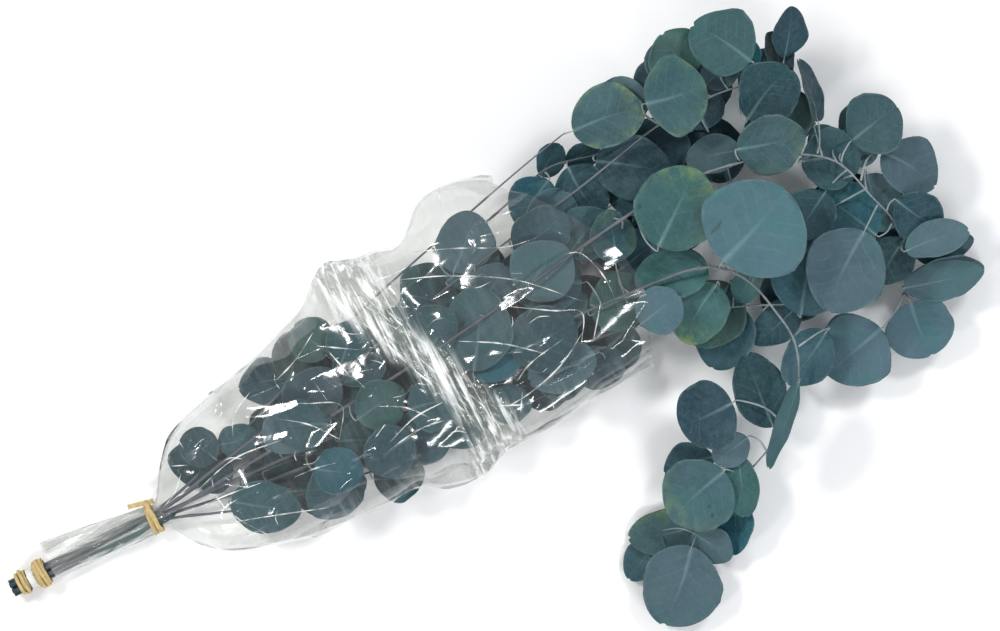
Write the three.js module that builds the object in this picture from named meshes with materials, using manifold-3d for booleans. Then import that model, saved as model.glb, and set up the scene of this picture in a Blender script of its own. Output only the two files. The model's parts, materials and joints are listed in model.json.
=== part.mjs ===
// A bunch of preserved silver-dollar eucalyptus lying on a table, in a clear film sleeve held by
// rubber bands. Millimetres, +Z up. The stems run along +X from their cut ends, the table is z = 0,
// and the finished bunch is centred on its bounding box at the table.
import * as THREE from "three";
import Module from "manifold-3d";

const wasm = await Module();
wasm.setup();

// ---- Driving dimensions -------------------------------------------------------------------------
const BUNCH_LENGTH = 740; // from the cut ends to the furthest leaf
const BUNCH_WIDTH = 385; // across the drooping shoots
const BUNCH_HEIGHT = 96; // as it lies
const GAP = 0.35; // air between pieces that touch

const STEM_BASE_DIAMETER = 4.2;
const STEM_TIP_DIAMETER = 1.7;
const STEM_SIDES = 6;
const STEM_STEPS_PER_SPAN = 3;

const LEAF_THICKNESS = 1.0; // at the midrib, thinning to the margin
const PETIOLE_WIDTH = 1.4;
const LEAF_SIZE = 1.0; // scales every blade
const LEAF_FOLD = 0.1; // how far the margins rise, as a share of the half width
const SETTLE_STEP = 1.5; // a leaf that touches another moves by this much at a time
const SETTLE_REACH = 60;
const SHARED_VOLUME = 1e-4; // less than this, in cubic millimetres, is no contact

const FILM_THICKNESS = 0.4;
const FILM_STEPS_ACROSS = 8;
const SEAM_HEIGHT = 24; // height of the side seams over the table
const FILM_FULLNESS = 0.8; // 1 is an ellipse, less is boxier
const FLATTENING = 1.3; // how much of the underside lies flat
const SLEEVE_SET_BACK = 4; // from the wide end band to the sleeve

const BARE_ENDS = 5.5; // how far the cut ends stand out of the narrow end band
const BAND_WIDTH = 3.6;
const BAND_THICKNESS = 1.2;
const BAND_STEPS_PER_TURN = 20;
// How far the turns of a winding shift sideways, as a share of the band's width, and how far the
// outermost turn lies over the innermost, as a share of its thickness.
const DOUBLE_WINDING = { turns: 2, shift: 0.65, pile: 2.1 };
const TRIPLE_WINDING = { turns: 3, shift: 0.87, pile: 3 };
const NECK_LOOP = 5; // how far a loose bit of the neck band stands out
const BUNDLE_ACROSS = 4; // centre line of the bare stems

const LABEL_THICKNESS = 0.5;
const LABEL_WIDTH = 5;
const LABEL_STEPS = 16;

// From the cut ends: the narrow winding, the label, the wide winding, then the sleeve's narrow tube.
const windingWidth = ({ shift }) => (1 + 2 * shift) * BAND_WIDTH;
const NARROW_AT = BARE_ENDS + windingWidth(DOUBLE_WINDING) / 2;
const LABEL_AT = NARROW_AT + windingWidth(DOUBLE_WINDING) / 2 + GAP + LABEL_WIDTH / 2;
const WIDE_AT = LABEL_AT + LABEL_WIDTH / 2 + GAP + windingWidth(TRIPLE_WINDING) / 2;
const TUBE_START = WIDE_AT + windingWidth(TRIPLE_WINDING) / 2 + SLEEVE_SET_BACK;

// The layout below is drawn for a bunch of this size, and stretches with the real one.
const DRAWN = { length: 740, width: 385, height: 96 };
const place = (x, y, z) =>
  new THREE.Vector3(
    (x * BUNCH_LENGTH) / DRAWN.length,
    (y * BUNCH_WIDTH) / DRAWN.width,
    (z * BUNCH_HEIGHT) / DRAWN.height,
  );

// ---- Finishes -----------------------------------------------------------------------------------
const finish = (color, roughness, more = {}) =>
  new THREE.MeshStandardMaterial({ color, roughness, metalness: 0, ...more });
const LEAF_FINISHES = {
  light: finish(0x5d8789, 0.7),
  green: finish(0x3f7069, 0.7),
  slate: finish(0x4f6773, 0.75),
  deep: finish(0x224a55, 0.7),
};
const STEM_FINISH = finish(0x74787c, 0.8);
const FILM_FINISH = finish(0xe6e9e8, 0.08, { transparent: true, opacity: 0.25 });
const BAND_FINISH = finish(0xc8a262, 0.6);
const PAPER_FINISH = finish(0xe9e8e4, 0.9);

// ---- Solids -------------------------------------------------------------------------------------
// Joins rings of points, each with the same even number, into one closed skin. An open loft is
// capped by strips between the two halves of its end rings; a looped one joins last ring to first.
function loft(rings, looped = false) {
  const n = rings[0].length;
  const index = [];
  const spans = looped ? rings.length : rings.length - 1;
  for (let i = 0; i < spans; i++) {
    const a = i * n;
    const b = ((i + 1) % rings.length) * n;
    for (let k = 0; k < n; k++) {
      const l = (k + 1) % n;
      index.push(a + k, a + l, b + l, a + k, b + l, b + k);
    }
  }
  if (!looped) {
    const last = (rings.length - 1) * n;
    for (let k = 0; k < n / 2 - 1; k++) {
      const m = n - 1 - k;
      index.push(k, m - 1, k + 1, k, m, m - 1);
      index.push(last + k, last + k + 1, last + m - 1, last + k, last + m - 1, last + m);
    }
  }
  const geometry = new THREE.BufferGeometry().setFromPoints(rings.flat());
  geometry.setIndex(index);
  geometry.computeVertexNormals();
  return geometry;
}

function solidOf(mesh) {
  mesh.updateMatrixWorld(true);
  const g = mesh.geometry.clone().applyMatrix4(mesh.matrixWorld);
  return new wasm.Manifold(
    new wasm.Mesh({
      numProp: 3,
      vertProperties: g.attributes.position.array,
      triVerts: new Uint32Array(g.index.array),
    }),
  );
}

function named(name, geometry, material) {
  const mesh = new THREE.Mesh(geometry, material);
  mesh.name = name;
  return mesh;
}

// ---- Stems --------------------------------------------------------------------------------------
// The bare stems make a round bundle, which the wide band at their end holds off the table.
const STEM_PITCH = STEM_BASE_DIAMETER + 1.4 * GAP;
const BUNDLE_RADIUS = STEM_PITCH + STEM_BASE_DIAMETER / 2;
const BUNDLE_HEIGHT = BUNDLE_RADIUS + GAP + (1 + TRIPLE_WINDING.pile) * BAND_THICKNESS;

// Where each stem sits in that bundle, as an angle, or null for the middle, and its way from the
// neck of the sleeve to its tip.
const BARE = [0, 40, 80, 110, 122];
const STEMS = {
  outer: {
    slot: 0,
    way: [
      [190, 27, 23], [300, 66, 37], [400, 94, 49], [470, 112, 57], [507, 120, 61],
    ],
  },
  upper: {
    slot: 300,
    way: [
      [180, 16, 16], [300, 50, 23], [400, 80, 35], [450, 94, 45], [485, 103, 52],
      [512, 98, 56], [552, 88, 52],
    ],
  },
  crown: {
    slot: 60,
    way: [
      [190, 20, 33], [300, 40, 54], [400, 62, 66], [500, 80, 70], [580, 96, 70],
      [640, 92, 66], [666, 76, 59],
    ],
  },
  arch: {
    slot: 120,
    way: [
      [190, 8, 35], [300, 16, 57], [400, 28, 68], [500, 44, 75], [560, 50, 77],
      [602, 46, 78], [646, 33, 75], [672, 14, 66], [684, -18, 54], [692, -45, 39],
      [688, -72, 26], [677, -94, 15],
    ],
  },
  trail: {
    slot: null,
    way: [
      [190, 2, 26], [300, -2, 42], [400, 0, 54], [500, -4, 66], [556, -12, 74],
      [576, -32, 72], [585, -62, 65], [588, -88, 56], [578, -115, 46], [552, -142, 36],
      [515, -160, 21], [478, -176, 13], [464, -183, 10],
    ],
  },
  middle: {
    slot: 240,
    way: [
      [190, -8, 17], [300, -16, 31], [400, -18, 42], [500, -28, 47], [560, -46, 44],
      [606, -66, 38], [640, -78, 33],
    ],
  },
  lower: {
    slot: 180,
    way: [
      [180, -20, 17], [280, -37, 23], [380, -42, 28], [470, -44, 31],
    ],
  },
};

function stemCurve({ slot, way }) {
  const pitch = slot === null ? 0 : STEM_PITCH;
  const angle = THREE.MathUtils.degToRad(slot ?? 0);
  const across = BUNDLE_ACROSS + pitch * Math.cos(angle);
  const up = BUNDLE_HEIGHT + pitch * Math.sin(angle);
  const bare = BARE.map((x) => new THREE.Vector3((x * BUNCH_LENGTH) / DRAWN.length, across, up));
  return new THREE.CatmullRomCurve3([...bare, ...way.map((p) => place(...p))]);
}

const stemRadius = (t) => THREE.MathUtils.lerp(STEM_BASE_DIAMETER, STEM_TIP_DIAMETER, t) / 2;

function stem(name, curve) {
  const rings = [];
  const steps = STEM_STEPS_PER_SPAN * (curve.points.length - 1);
  for (let i = 0; i <= steps; i++) {
    const t = i / steps;
    const centre = curve.getPoint(t);
    const along = curve.getTangent(t);
    const side = new THREE.Vector3(0, 0, 1).cross(along).normalize();
    const up = along.clone().cross(side);
    rings.push(circle(STEM_SIDES).map(([c, s]) =>
      centre.clone().addScaledVector(side, c * stemRadius(t)).addScaledVector(up, s * stemRadius(t)),
    ));
  }
  return named(`stem_${name}`, loft(rings), STEM_FINISH);
}

function circle(sides) {
  return Array.from({ length: sides }, (_, k) => {
    const a = (2 * Math.PI * k) / sides;
    return [Math.cos(a), Math.sin(a)];
  });
}

// The point of a stem nearest to another point, and the stem's radius there.
function nearestOn(curve, point) {
  let best = { distance: Infinity };
  for (let t = 0.12; t <= 1; t += 0.005) {
    const centre = curve.getPoint(t);
    const distance = centre.distanceTo(point);
    if (distance < best.distance) best = { distance, centre, radius: stemRadius(t) };
  }
  return best;
}

// ---- Sleeve -------------------------------------------------------------------------------------
// Stations along the narrow tube: the room round the bare stems that the film leaves on each side.
const NECK_ROOM = { low: 4.2, high: 4.2, top: 4.3, bottom: 0.9 };
const TUBE = [
  { x: TUBE_START, low: 1.2, high: 14, top: 5.2, bottom: 2 },
  { x: place(70, 0, 0).x, low: 3.2, high: 10, top: 4.6, bottom: 2 },
  { x: place(108, 0, 0).x, ...NECK_ROOM },
  { x: place(122, 0, 0).x, ...NECK_ROOM },
].map(({ x, low, high, top, bottom }) => ({
  x,
  low: BUNDLE_ACROSS - BUNDLE_RADIUS - low,
  high: BUNDLE_ACROSS + BUNDLE_RADIUS + high,
  top: BUNDLE_HEIGHT + BUNDLE_RADIUS + top,
  bottom: BUNDLE_HEIGHT - BUNDLE_RADIUS - bottom,
  seam: BUNDLE_HEIGHT,
  reach: 0,
}));

// Stations along the puffed part: its two side seams, its top and its underside, and how far its
// middle reaches past its seams. The last ones slant, as the mouth is cut and crumpled at an angle.
const PUFF = [
  { x: 136, low: -26, high: 34, top: 31, bottom: 1.5, seam: 20 },
  { x: 156, low: -42, high: 54, top: 45 },
  { x: 190, low: -54, high: 66, top: 59 },
  { x: 230, low: -60, high: 76, top: 70 },
  { x: 275, low: -63, high: 90, top: 78 },
  { x: 300, low: -62, high: 96, top: 82 },
  { x: 318, low: -70, high: 106, top: 89 },
  { x: 346, low: -75, high: 106, top: 89 },
  { x: 364, low: -66, high: 104, top: 85, reach: 4 },
  { x: 392, low: -66, high: 126, top: 89, reach: 14 },
  { x: 418, low: -62, high: 126, top: 90, reach: 36 },
  { x: 442, low: -58, high: 117, top: 90, reach: 66 },
].map(({ x, low, high, top, bottom = 0, seam = SEAM_HEIGHT, reach = 0 }) => ({
  x: place(x, 0, 0).x,
  low: place(0, low, 0).y,
  high: place(0, high, 0).y,
  top: place(0, 0, top).z,
  bottom: place(0, 0, bottom).z,
  seam: place(0, 0, seam).z,
  reach: place(reach, 0, 0).x,
  flat: bottom === 0,
}));
const SLEEVE = [...TUBE, ...PUFF];
const NECK = { ...TUBE[2], x: (TUBE[2].x + TUBE[3].x) / 2 };
const MOUTH_SLANT = 0.75 * Math.PI;

// A point of the sleeve's outside at a station. Angle 0 is the seam on the +Y side, 90 the top and
// -90 the underside, in degrees; out moves it outwards.
function sleevePoint(station, degrees, out = 0) {
  const { x, low, high, top, bottom, seam, reach, flat } = station;
  const a = THREE.MathUtils.degToRad(degrees);
  const full = (v) => Math.sign(v) * Math.abs(v) ** FILM_FULLNESS;
  const sideways = full(Math.cos(a));
  const upright = Math.abs(full(Math.sin(a)));
  const share = (1 - sideways) / 2;
  const rise = degrees >= 0
    ? (top - seam + out) * upright
    : -(seam - bottom + out) * Math.min(1, (flat ? FLATTENING : 1) * upright);
  return new THREE.Vector3(
    x + reach * Math.sin(MOUTH_SLANT * share),
    (low + high) / 2 + ((high - low) / 2 + out) * sideways,
    seam + rise,
  );
}

// Half of the sleeve, from one seam to the other over the top or under the bottom.
function film(name, from, to) {
  const lift = Math.sign(from + to) * (GAP / 2);
  const rings = SLEEVE.map((station) => {
    const row = (out) =>
      Array.from({ length: FILM_STEPS_ACROSS + 1 }, (_, k) => {
        const degrees = THREE.MathUtils.lerp(from, to, k / FILM_STEPS_ACROSS);
        const p = sleevePoint(station, Math.sign(from + to) * Math.abs(degrees), out);
        p.z += degrees === from || degrees === to ? lift : 0;
        return p;
      });
    return [...row(0), ...row(-FILM_THICKNESS).reverse()];
  });
  return named(name, loft(from + to < 0 ? rings.map((r) => r.reverse()) : rings), FILM_FINISH);
}

// ---- Rubber bands and label ---------------------------------------------------------------------
// A band wound several times round a section: its turns shift sideways and outwards as they go
// round, so that they lie beside and over each other and still close into one loop.
function band(name, { turns, shift, pile }, section, slack = 0) {
  const steps = turns * BAND_STEPS_PER_TURN;
  const rings = [];
  for (let i = 0; i < steps; i++) {
    const phase = (2 * Math.PI * i) / steps;
    const degrees = ((360 * i) / BAND_STEPS_PER_TURN) % 360;
    const turned = degrees > 180 ? degrees - 360 : degrees;
    const side = Math.max(0, Math.cos(THREE.MathUtils.degToRad(turned)));
    const loose = slack * Math.max(0, Math.cos(phase)) * side ** 4;
    const layer = 0.5 + (pile * (1 + Math.cos(phase))) / 2;
    const height = GAP + BAND_THICKNESS * layer + loose;
    const along = shift * BAND_WIDTH * Math.sin(phase);
    const corner = (w, h) => section(turned, height + h).add(new THREE.Vector3(along + w, 0, 0));
    const [w, h] = [BAND_WIDTH / 2, BAND_THICKNESS / 2];
    rings.push([corner(-w, -h), corner(w, -h), corner(w, h), corner(-w, h)]);
  }
  return named(name, loft(rings, true), BAND_FINISH);
}

// The round section of the bare stems at a distance from their cut ends.
const aroundBundle = (x) => (degrees, out) => {
  const a = THREE.MathUtils.degToRad(degrees);
  const r = BUNDLE_RADIUS + out;
  return new THREE.Vector3(
    x,
    BUNDLE_ACROSS + r * Math.cos(a),
    BUNDLE_HEIGHT + r * Math.sin(a),
  );
};

function paperLabel(x) {
  const around = aroundBundle(x);
  const rings = [];
  for (let i = 0; i <= LABEL_STEPS; i++) {
    const degrees = -60 + (300 * i) / LABEL_STEPS;
    const corner = (w, out) => around(degrees, GAP + out).add(new THREE.Vector3(w, 0, 0));
    const w = LABEL_WIDTH / 2;
    rings.push([corner(-w, 0), corner(w, 0), corner(w, LABEL_THICKNESS), corner(-w, LABEL_THICKNESS)]);
  }
  return named("paper_label", loft(rings), PAPER_FINISH);
}

// ---- Leaves -------------------------------------------------------------------------------------
// Share of the blade's length, and of its half width there, for a round leaf with a short point.
const BLADE = [[0.04, 0.24], [0.16, 0.66], [0.34, 0.96], [0.54, 1], [0.74, 0.85], [0.9, 0.54], [1, 0.08]];

// Each leaf: where its blade starts, its heading in plan, how its midrib pitches and its blade
// rolls, all in degrees, then its length, its width and its finish.
const LEAVES = {
  outer: [
    [176, 22, 27, 118, 0, 0, 30, 30, "deep"],
    [252, 50, 26, 165, 2, -6, 40, 36, "deep"],
    [285, 54, 45, 118, 0, 8, 33, 34, "deep"],
    [391, 66, 63, 46, -4, 6, 46, 42, "slate"],
    [512, 118, 80, -9, -2, -12, 54, 48, "green"],
  ],
  upper: [
    [482, 95, 54, -150, -4, 10, 40, 36, "deep"],
    [498, 97, 61, -83, -12, 8, 43, 40, "deep"],
    [518, 92, 68, -36, -6, 14, 54, 48, "slate"],
    [548, 104, 66, 74, 8, -10, 37, 42, "deep"],
  ],
  crown: [
    [567, 112, 86, -9, 0, 8, 45, 58, "light"],
    [604, 116, 73, 96, 8, 6, 37, 46, "slate"],
    [648, 106, 80, 122, 6, -8, 50, 48, "slate"],
    [600, 77, 61, 82, 0, 12, 31, 38, "deep"],
    [628, 70, 71, 24, -4, 10, 48, 46, "slate"],
    [672, 98, 61, 57, 14, 34, 38, 34, "deep"],
  ],
  arch: [
    [530, 17, 80, 38, 4, -4, 62, 62, "green"],
    [611, 54, 82, -14, -4, 16, 50, 44, "green"],
    [673, 46, 60, 80, -4, 60, 48, 34, "deep"],
    [650, 38, 54, 88, -4, -10, 44, 52, "slate"],
    [650, 26, 57, -24, -6, 8, 44, 46, "slate"],
    [689, 23, 54, 12, -10, 6, 42, 48, "slate"],
    [706, 6, 46, -58, -12, -8, 48, 42, "slate"],
    [694, -60, 27, -24, -10, 38, 51, 36, "slate"],
    [691, -84, 17, -24, -12, 42, 53, 34, "slate"],
    [678, -101, 12, -94, -6, 4, 42, 54, "slate"],
    [650, -108, 22, -167, -6, -6, 52, 58, "slate"],
    [668, -39, 62, -142, 2, -6, 64, 60, "slate"],
    [676, -46, 44, 120, 4, 10, 54, 48, "deep"],
  ],
  trail: [
    [566, -13, 87, 22, 2, 4, 68, 80, "light"],
    [548, -137, 34, 84, 6, 8, 58, 40, "deep"],
    [529, -108, 44, 178, -6, 6, 42, 52, "deep"],
    [577, -116, 57, -136, -10, 66, 66, 30, "light"],
    [502, -150, 31, -164, -4, -8, 52, 57, "light"],
    [468, -178, 9, 164, -6, 10, 52, 36, "light"],
    [457, -189, 17, -136, -10, -4, 62, 60, "slate"],
    [504, -160, 17, -114, -5, 34, 54, 34, "green"],
    [613, -92, 42, -154, -6, -10, 48, 38, "green"],
  ],
  middle: [
    [556, -26, 59, -146, -2, -4, 48, 46, "green"],
    [494, -27, 77, 12, -4, 6, 35, 36, "light"],
    [566, -49, 42, -142, -8, 10, 50, 44, "green"],
    [601, -73, 57, 50, 6, -12, 62, 56, "light"],
    [498, 20, 71, 72, 4, 10, 39, 34, "green"],
    [470, 18, 57, 152, -4, 8, 52, 46, "slate"],
    [372, -4, 63, 60, 4, -6, 62, 52, "green"],
  ],
  lower: [
    [172, -10, 24, -34, 4, 8, 52, 40, "deep"],
    [262, -24, 38, -150, 2, -6, 46, 42, "deep"],
    [456, -32, 57, 176, -2, 10, 52, 38, "green"],
  ],
};

// The blade and its petiole as one lens-shaped loft, in the blade's own frame: its base at the
// origin, its midrib along +X, its upper face towards +Z. root is where the petiole meets the stem.
function leafGeometry(root, length, width) {
  const petiole = new THREE.QuadraticBezierCurve3(
    root,
    new THREE.Vector3(-0.4 * root.length(), 0, 0),
    new THREE.Vector3(0, 0, 0),
  );
  const stations = [0, 0.35, 0.7].map((t) => ({
    centre: petiole.getPoint(t),
    along: petiole.getTangent(t),
    half: PETIOLE_WIDTH / 2,
  }));
  for (const [share, wide] of BLADE)
    stations.push({
      centre: new THREE.Vector3(share * length, 0, 0),
      along: new THREE.Vector3(1, 0, 0),
      half: (wide * width) / 2,
    });
  return loft(
    stations.map(({ centre, along, half }) => {
      const side = new THREE.Vector3(0, 0, 1).cross(along).normalize();
      const up = along.clone().cross(side).normalize();
      const at = (s, u) => centre.clone().addScaledVector(side, s).addScaledVector(up, u);
      const rise = half > PETIOLE_WIDTH ? LEAF_FOLD * half : 0;
      return [at(-half, rise), at(0, -LEAF_THICKNESS / 2), at(half, rise), at(0, LEAF_THICKNESS / 2)];
    }),
  );
}

function leafMesh(name, curve, row, size, shift) {
  const [x, y, z, heading, pitch, roll, length, width, color] = row;
  const mesh = new THREE.Mesh(new THREE.BufferGeometry(), LEAF_FINISHES[color]);
  mesh.name = name;
  mesh.position.copy(place(x, y, z)).setZ(place(x, y, z).z + shift);
  const [h, p, r] = [heading, -pitch, roll].map(THREE.MathUtils.degToRad);
  mesh.rotation.set(r, p, h, "ZYX");
  mesh.updateMatrixWorld(true);
  const { centre, radius } = nearestOn(curve, mesh.position);
  const outwards = mesh.position.clone().sub(centre).normalize();
  const root = centre.addScaledVector(outwards, radius + GAP + PETIOLE_WIDTH / 4);
  mesh.geometry = leafGeometry(mesh.worldToLocal(root), length * size, width * size);
  return mesh;
}

// ---- Settling -----------------------------------------------------------------------------------
const placed = []; // [solid, its box] of every piece that is already in place

function settleDown(mesh) {
  const solid = solidOf(mesh);
  placed.push([solid, new THREE.Box3().setFromObject(mesh, true)]);
  return mesh;
}

// Whether a mesh, moved up or down by the usual gap, clears everything already in place.
function isFree(mesh) {
  const box = new THREE.Box3().setFromObject(mesh, true).expandByScalar(GAP);
  const near = placed.filter(([, other]) => other.intersectsBox(box));
  const solid = solidOf(mesh);
  return [0, GAP, -GAP].every((lift) => {
    const moved = solid.translate([0, 0, lift]);
    return near.every(([other]) => moved.intersect(other).volume() < SHARED_VOLUME);
  });
}

// A leaf rises or sinks in the pile until it lies free of the pieces that are already there, and
// off the table. Where no height is free it is tried again a little smaller.
function settleLeaf(name, curve, row) {
  for (let size = LEAF_SIZE; size > LEAF_SIZE / 2; size *= 0.9)
    for (let reach = 0; reach <= SETTLE_REACH; reach += SETTLE_STEP)
      for (const shift of reach ? [reach, -reach] : [0]) {
        const mesh = leafMesh(name, curve, row, size, shift);
        const offTable = new THREE.Box3().setFromObject(mesh, true).min.z >= 0;
        if (offTable && isFree(mesh)) return settleDown(mesh);
      }
  throw new Error(`${name} finds no room in the pile`);
}

// ---- Assembly -----------------------------------------------------------------------------------
const bunch = new THREE.Group();
bunch.name = "eucalyptus_bunch";
const curves = Object.fromEntries(Object.entries(STEMS).map(([k, v]) => [k, stemCurve(v)]));

for (const [name, curve] of Object.entries(curves)) bunch.add(settleDown(stem(name, curve)));
bunch.add(settleDown(film("sleeve_top_film", 0, 180)));
bunch.add(settleDown(film("sleeve_bottom_film", 0, -180)));

const aroundNeck = (degrees, out) => sleevePoint(NECK, degrees, out);
for (const piece of [
  band("neck_band", DOUBLE_WINDING, aroundNeck, NECK_LOOP),
  band("end_band_wide", TRIPLE_WINDING, aroundBundle(WIDE_AT)),
  band("end_band_narrow", DOUBLE_WINDING, aroundBundle(NARROW_AT)),
  paperLabel(LABEL_AT),
])
  bunch.add(settleDown(piece));

let number = 0;
for (const [name, rows] of Object.entries(LEAVES))
  for (const row of rows) {
    number += 1;
    bunch.add(settleLeaf(`leaf_${name}_${String(number).padStart(2, "0")}`, curves[name], row));
  }

const bounds = new THREE.Box3().setFromObject(bunch, true);
const middle = bounds.getCenter(new THREE.Vector3());
bunch.position.set(-middle.x, -middle.y, -bounds.min.z);

export default bunch;
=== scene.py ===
"""The look of a preserved eucalyptus bunch lying in its clear sleeve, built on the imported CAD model.

Everything is in metres in the row frame. The layout of the small leaves is written in millimetres
along the bunch from the cut ends and across it.
"""
import json
import random
from itertools import combinations
from math import atan2, copysign, cos, exp, pi, radians, sin, tau

import bmesh
import bpy
from mathutils import Matrix, Vector, noise
from mathutils.bvhtree import BVHTree
from mathutils.geometry import intersect_point_line
from mathutils.kdtree import KDTree


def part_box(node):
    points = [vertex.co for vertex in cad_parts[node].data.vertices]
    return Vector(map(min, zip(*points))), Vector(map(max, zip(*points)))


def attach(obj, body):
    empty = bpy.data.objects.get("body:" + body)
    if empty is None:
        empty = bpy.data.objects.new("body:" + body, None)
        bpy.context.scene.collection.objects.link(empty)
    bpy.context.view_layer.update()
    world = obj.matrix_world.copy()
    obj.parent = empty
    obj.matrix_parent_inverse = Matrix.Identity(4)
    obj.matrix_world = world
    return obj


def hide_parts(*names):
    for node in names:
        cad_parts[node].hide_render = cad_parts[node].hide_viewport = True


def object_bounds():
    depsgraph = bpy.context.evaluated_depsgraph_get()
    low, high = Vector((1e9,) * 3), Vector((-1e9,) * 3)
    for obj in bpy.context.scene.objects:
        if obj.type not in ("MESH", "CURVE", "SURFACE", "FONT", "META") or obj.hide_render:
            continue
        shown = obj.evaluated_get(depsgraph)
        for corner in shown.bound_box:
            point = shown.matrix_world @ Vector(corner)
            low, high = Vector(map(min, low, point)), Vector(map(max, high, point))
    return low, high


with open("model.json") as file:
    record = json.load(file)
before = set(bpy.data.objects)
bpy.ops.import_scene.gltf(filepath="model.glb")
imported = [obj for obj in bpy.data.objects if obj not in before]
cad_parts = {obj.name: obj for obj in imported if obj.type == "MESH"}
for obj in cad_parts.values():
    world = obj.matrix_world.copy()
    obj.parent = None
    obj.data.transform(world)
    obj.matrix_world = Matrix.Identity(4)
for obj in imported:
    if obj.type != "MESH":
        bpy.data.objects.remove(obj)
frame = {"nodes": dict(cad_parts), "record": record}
cad_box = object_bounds()
MM = 0.001
UP = Vector((0, 0, 1))
NODES = frame["nodes"]
SLOTS = {s["node"]: s["material_slot"] for s in frame["record"]["subparts"]}


def rough(x, y, z):
    """Smooth noise between -1 and 1."""
    return noise.noise(Vector((x, y, z)))


def srgb(code):
    """A linear colour from its six hexadecimal digits."""
    parts = [int(code[i:i + 2], 16) / 255 for i in (0, 2, 4)]
    return [p / 12.92 if p <= 0.04045 else ((p + 0.055) / 1.055) ** 2.4 for p in parts]


# ---- The frame's own measures ----
def centre(node):
    low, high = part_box(node)
    return (low + high) / 2


CUT_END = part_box("stem_trail")[0].x
BUNDLE = centre("end_band_wide")
TABLE = cad_box[0].z
BUNDLE_ACROSS = 4  # where the bare stems' centre line lies across the layout, in millimetres


def at(x, y, z):
    """A point in the row frame from millimetres along, across and above the table."""
    return Vector((CUT_END + x * MM, BUNDLE.y + (y - BUNDLE_ACROSS) * MM, TABLE + z * MM))


# ---- Camera, floor and light ----
PICTURE_TILT = radians(26.5)  # how far the bunch runs uphill across the picture
PICTURE_WIDTH = 0.72  # what the picture shows across, in metres
CAMERA_HEIGHT = 3.2
VIEW_MIDDLE = at(407, 23, 50)


def make_camera():
    data = bpy.data.cameras.new("camera")
    data.sensor_width = 36
    data.lens = data.sensor_width * CAMERA_HEIGHT / PICTURE_WIDTH
    camera = bpy.data.objects.new("camera", data)
    bpy.context.scene.collection.objects.link(camera)
    turn = Matrix.Rotation(-PICTURE_TILT, 4, "Z")
    camera.matrix_world = Matrix.Translation(VIEW_MIDDLE + UP * CAMERA_HEIGHT) @ turn
    data.clip_end = 50
    bpy.context.scene.camera = camera


def area_light(name, place, target, size, power, colour):
    data = bpy.data.lights.new(name, "AREA")
    data.shape = "RECTANGLE"
    data.size, data.size_y = size
    data.energy = power
    data.color = colour
    lamp = bpy.data.objects.new(name, data)
    lamp.location = place
    lamp.rotation_euler = (target - place).to_track_quat("-Z", "Y").to_euler()
    bpy.context.scene.collection.objects.link(lamp)


def make_studio():
    scene = bpy.context.scene
    scene.view_settings.view_transform = "Standard"
    world = bpy.data.worlds.new("studio")
    world.use_nodes = True
    sky = world.node_tree.nodes["Background"].inputs
    sky["Color"].default_value = (0.95, 0.97, 1, 1)
    sky["Strength"].default_value = 0.48
    scene.world = world
    middle = at(400, 0, 40)
    # name, place from the middle in metres, size in metres, watts and colour
    lamps = [
        ("key", (-0.9, 1.2, 1.7), (0.5, 0.35), 22, (1, 0.99, 0.97)),
        ("window", (1.3, 0.5, 1.5), (0.4, 0.3), 13, (0.97, 0.98, 1)),
        ("front", (0.3, -1.5, 1.3), (0.7, 0.2), 11, (0.96, 0.98, 1)),
        ("left", (-1.5, -0.5, 1.1), (0.3, 0.3), 8, (1, 1, 1)),
    ]
    for name, place, size, power, colour in lamps:
        area_light(name, middle + Vector(place), middle, size, power, colour)

    mesh = bpy.data.meshes.new("floor")
    reach = 6
    corners = [(-reach, -reach), (reach, -reach), (reach, reach), (-reach, reach)]
    mesh.from_pydata([(x, y, TABLE) for x, y in corners], [], [(0, 1, 2, 3)])
    floor = bpy.data.objects.new("floor", mesh)
    scene.collection.objects.link(floor)
    paper = bpy.data.materials.new("floor")
    paper.use_nodes = True
    bsdf = paper.node_tree.nodes["Principled BSDF"]
    bsdf.inputs["Base Color"].default_value = (0.93, 0.93, 0.93, 1)
    bsdf.inputs["Roughness"].default_value = 0.9
    mesh.materials.append(paper)


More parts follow.
